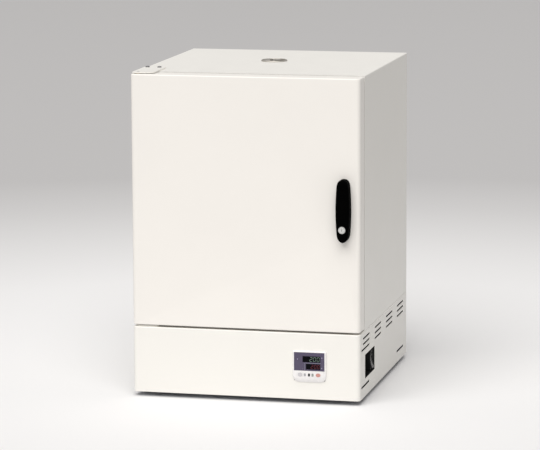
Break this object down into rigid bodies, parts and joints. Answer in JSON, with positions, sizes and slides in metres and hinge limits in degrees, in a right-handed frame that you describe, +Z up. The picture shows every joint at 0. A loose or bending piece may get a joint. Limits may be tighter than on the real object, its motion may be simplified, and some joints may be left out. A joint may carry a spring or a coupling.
{
  "type": "hot air sterilizer",
  "caption": "Laboratory drying and sterilizing oven with a hinged insulated door, wire shelves, an exhaust vent with a damper, and a base with a controller and a power switch",
  "frame": {"origin": "on the floor, in the middle of the outline", "axes": "+X to the right, +Y to the back, +Z up; the door faces -Y"},
  "size_m": [0.57, 0.6492, 0.806],
  "materials": {
    "cabinet_paint": "satin",
    "door_paint": "satin",
    "zinc_plated_steel": "satin",
    "stainless_steel": "satin",
    "shelf_wire": "polished",
    "heater_sheath": "matte",
    "ceramic_sleeve": "matte",
    "glass_wool": "matte",
    "silicone_seal": "matte",
    "foot_rubber": "matte",
    "vent_metal": "satin",
    "black_oxide_screws": "satin",
    "black_plastic": "satin",
    "rocker_plastic": "gloss",
    "lock_metal": "polished",
    "bush_brass": "satin",
    "bezel_plastic": "gloss",
    "window_plastic": "gloss",
    "pale_key": "satin",
    "black_key": "satin",
    "grey_key": "satin",
    "salmon_key": "satin",
    "board_laminate": "satin",
    "heatsink_aluminium": "satin",
    "relay_plastic": "satin"
  },
  "bodies": {
    "cabinet": {"outer_casing": "cabinet_paint", "rear_cover": "cabinet_paint", "front_frame": "cabinet_paint", "lock_keeper": "zinc_plated_steel", "magnet_catches": "black_plastic", "chamber_liner": "stainless_steel", "chamber_insulation": "glass_wool", "heater_elements": "heater_sheath", "heater_bushings": "ceramic_sleeve", "heater_cover_plate": "stainless_steel", "shelf_posts": "stainless_steel", "shelf_clips": "stainless_steel", "temperature_probe": "stainless_steel", "overheat_probe": "stainless_steel", "exhaust_duct": "stainless_steel", "vent_flange": "vent_metal", "base_shell": "cabinet_paint", "base_floor": "zinc_plated_steel", "base_rear_panel": "cabinet_paint", "feet": "foot_rubber", "foot_screws": "black_oxide_screws", "rear_screws": "black_oxide_screws", "cord_gland": "black_plastic", "relay_heatsink": "heatsink_aluminium", "solid_state_relay": "relay_plastic", "terminal_block": "black_plastic", "overheat_thermostat": "relay_plastic", "switch_pocket": "black_plastic", "switch_body": "black_plastic", "controller_bezel": "bezel_plastic", "controller_window": "window_plastic", "controller_case": "black_plastic", "circuit_board": "board_laminate", "hinge_pins": "zinc_plated_steel", "upper_hinge_plate": "cabinet_paint", "lower_hinge_bracket": "cabinet_paint", "hinge_screws": "black_oxide_screws"},
    "door": {"door_skin": "door_paint", "door_inner_panel": "stainless_steel", "door_insulation": "glass_wool", "door_gasket": "silicone_seal", "hinge_bushes": "bush_brass", "catch_strikes": "zinc_plated_steel", "handle_grip": "black_plastic", "handle_screws": "black_oxide_screws", "lock_housing": "lock_metal"},
    "lock": {"lock_core": "lock_metal", "lock_cam": "zinc_plated_steel"},
    "damper": {"damper_disc": "vent_metal"},
    "rocker": {"power_rocker": "rocker_plastic"},
    "shelf_low": {"lower_shelf": "shelf_wire"},
    "shelf_high": {"upper_shelf": "shelf_wire"},
    "key_mode_button": {"key_mode": "pale_key"},
    "key_left_button": {"key_left": "pale_key"},
    "key_down_button": {"key_down": "black_key"},
    "key_up_button": {"key_up": "grey_key"},
    "key_run_button": {"key_run": "salmon_key"}
  },
  "joints": [
    {"name": "door_hinge", "type": "hinge", "parent": "cabinet", "child": "door", "pos_m": [-0.27, -0.2716, 0.4875], "axis": [0, 0, -1], "range_deg": [0, 120]},
    {"name": "lock_turn", "type": "hinge", "parent": "door", "child": "lock", "pos_m": [0.2465, -0.3136, 0.4365], "axis": [0, 1, 0], "range_deg": [0, 90]},
    {"name": "damper_turn", "type": "hinge", "parent": "cabinet", "child": "damper", "pos_m": [-0.006, 0.0514, 0.802], "axis": [0, 0, 1], "range_deg": [0, 180]},
    {"name": "rocker_tilt", "type": "hinge", "parent": "cabinet", "child": "rocker", "pos_m": [0.273, -0.1239, 0.0835], "axis": [0, 1, 0], "range_deg": [0, 12]},
    {"name": "lower_shelf_slide", "type": "slide", "parent": "cabinet", "child": "shelf_low", "axis": [0, -1, 0], "range_m": [0, 0.018]},
    {"name": "upper_shelf_slide", "type": "slide", "parent": "cabinet", "child": "shelf_high", "axis": [0, -1, 0], "range_m": [0, 0.018]},
    {"name": "key_mode_press", "type": "slide", "parent": "cabinet", "child": "key_mode_button", "axis": [0, 1, 0], "range_m": [0, 0.0005], "stiffness_N_per_m": 400},
    {"name": "key_left_press", "type": "slide", "parent": "cabinet", "child": "key_left_button", "axis": [0, 1, 0], "range_m": [0, 0.0005], "stiffness_N_per_m": 400},
    {"name": "key_down_press", "type": "slide", "parent": "cabinet", "child": "key_down_button", "axis": [0, 1, 0], "range_m": [0, 0.0005], "stiffness_N_per_m": 400},
    {"name": "key_up_press", "type": "slide", "parent": "cabinet", "child": "key_up_button", "axis": [0, 1, 0], "range_m": [0, 0.0005], "stiffness_N_per_m": 400},
    {"name": "key_run_press", "type": "slide", "parent": "cabinet", "child": "key_run_button", "axis": [0, 1, 0], "range_m": [0, 0.0005], "stiffness_N_per_m": 400}
  ]
}
